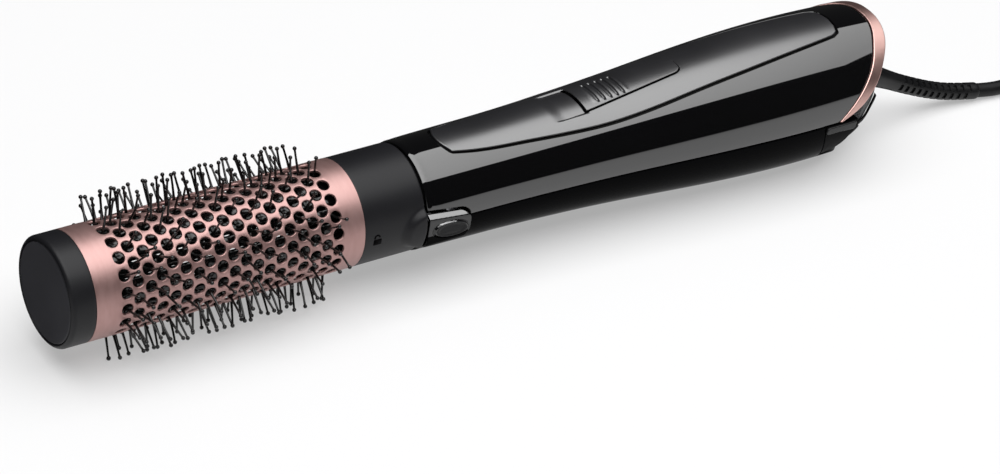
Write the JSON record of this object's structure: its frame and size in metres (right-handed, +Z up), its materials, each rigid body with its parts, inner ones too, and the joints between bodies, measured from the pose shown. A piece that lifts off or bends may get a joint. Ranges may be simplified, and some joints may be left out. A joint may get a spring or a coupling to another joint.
{
  "type": "hot air brush",
  "caption": "Hot air styling brush: perforated round barrel with ball-tipped bristles, slim-necked gloss handle with slide switch, release button, rear inlet grille and tied mains cord.",
  "frame": {"origin": "middle of the footprint of the brush without its cord, on the surface that it lies on", "axes": "+X along the handle from brush head to tail, +Z up through the slide switch, -Y is the side with the release button"},
  "size_m": [0.6013, 0.0752, 0.0547],
  "materials": {
    "gloss_black": "high gloss moulded",
    "matte_black": "fine matte moulded",
    "satin_inlay": "satin, slightly metallic dark grey",
    "rose_gold": "satin anodised",
    "rose_trim": "polished rose gold plating",
    "nylon_black": "smooth nylon",
    "mesh_dark": "fine woven wire",
    "steel": "bright",
    "copper_winding": "resistance wire",
    "mica": "mica sheet",
    "heat_sleeve": "heat resistant moulding",
    "board_green": "circuit board",
    "cord_black": "flexible PVC",
    "pin_brass": "nickel plated"
  },
  "bodies": {
    "handle": {"handle_shell_upper": "gloss_black", "handle_shell_lower": "gloss_black", "top_inlay": "satin_inlay", "switch_channel_floor": "matte_black", "tail_trim": "rose_trim", "switch_module": "matte_black", "control_board": "board_green", "latch_bracket": "matte_black", "release_spring": "steel", "outlet_spigot": "heat_sleeve", "heater_tube": "steel", "heater_mica_cross": "mica", "heater_winding": "copper_winding", "thermostat": "steel", "motor": "steel", "fan_duct": "matte_black", "handle_screw_1": "steel", "handle_screw_2": "steel", "strain_relief": "cord_black", "cord_clamp": "matte_black", "cord_lead": "cord_black", "cord_hank": "cord_black", "cord_tie_1": "matte_black", "cord_tie_2": "matte_black", "cord_tail": "cord_black", "plug_body": "cord_black", "plug_pins": "pin_brass"},
    "brush_head": {"end_cap": "matte_black", "end_cap_disc": "matte_black", "barrel": "rose_gold", "collar": "matte_black", "collar_lug": "matte_black", "collar_sleeve": "heat_sleeve", "bristle_supports": "nylon_black", "brush_spine": "steel", "rail_ring_front": "heat_sleeve", "rail_ring_rear": "heat_sleeve", "bristle_rows_01": "nylon_black", "bristle_rows_02": "nylon_black", "bristle_rows_03": "nylon_black", "bristle_rows_04": "nylon_black", "bristle_rows_05": "nylon_black", "bristle_rows_06": "nylon_black", "bristle_rows_07": "nylon_black", "bristle_rows_08": "nylon_black", "bristle_rows_09": "nylon_black", "bristle_rows_10": "nylon_black"},
    "rotor": {"motor_shaft": "steel", "fan_wheel": "matte_black"},
    "switch": {"switch_slider": "satin_inlay", "switch_stem": "matte_black"},
    "button": {"release_button": "gloss_black", "latch_arm": "matte_black"},
    "grille": {"inlet_grille": "matte_black", "filter_mesh": "mesh_dark"}
  },
  "joints": [
    {"name": "head_release", "type": "slide", "parent": "handle", "child": "brush_head", "axis": [-1, 0, 0], "range_m": [0, 0.026]},
    {"name": "button_press", "type": "slide", "parent": "handle", "child": "button", "axis": [0, 1, 0], "range_m": [0, 0.0012], "stiffness_N_per_m": 900, "springref_m": -0.0006, "deforming": ["release_spring"]},
    {"name": "switch_slide", "type": "slide", "parent": "handle", "child": "switch", "axis": [-0.9975, 0, -0.0701], "range_m": [0, 0.008]},
    {"name": "fan_spin", "type": "hinge", "parent": "handle", "child": "rotor", "pos_m": [0.06, 0, 0.0265], "axis": [1, 0, 0], "continuous": true},
    {"name": "grille_release", "type": "slide", "parent": "handle", "child": "grille", "axis": [1, 0, 0], "range_m": [0, 0.005]}
  ]
}
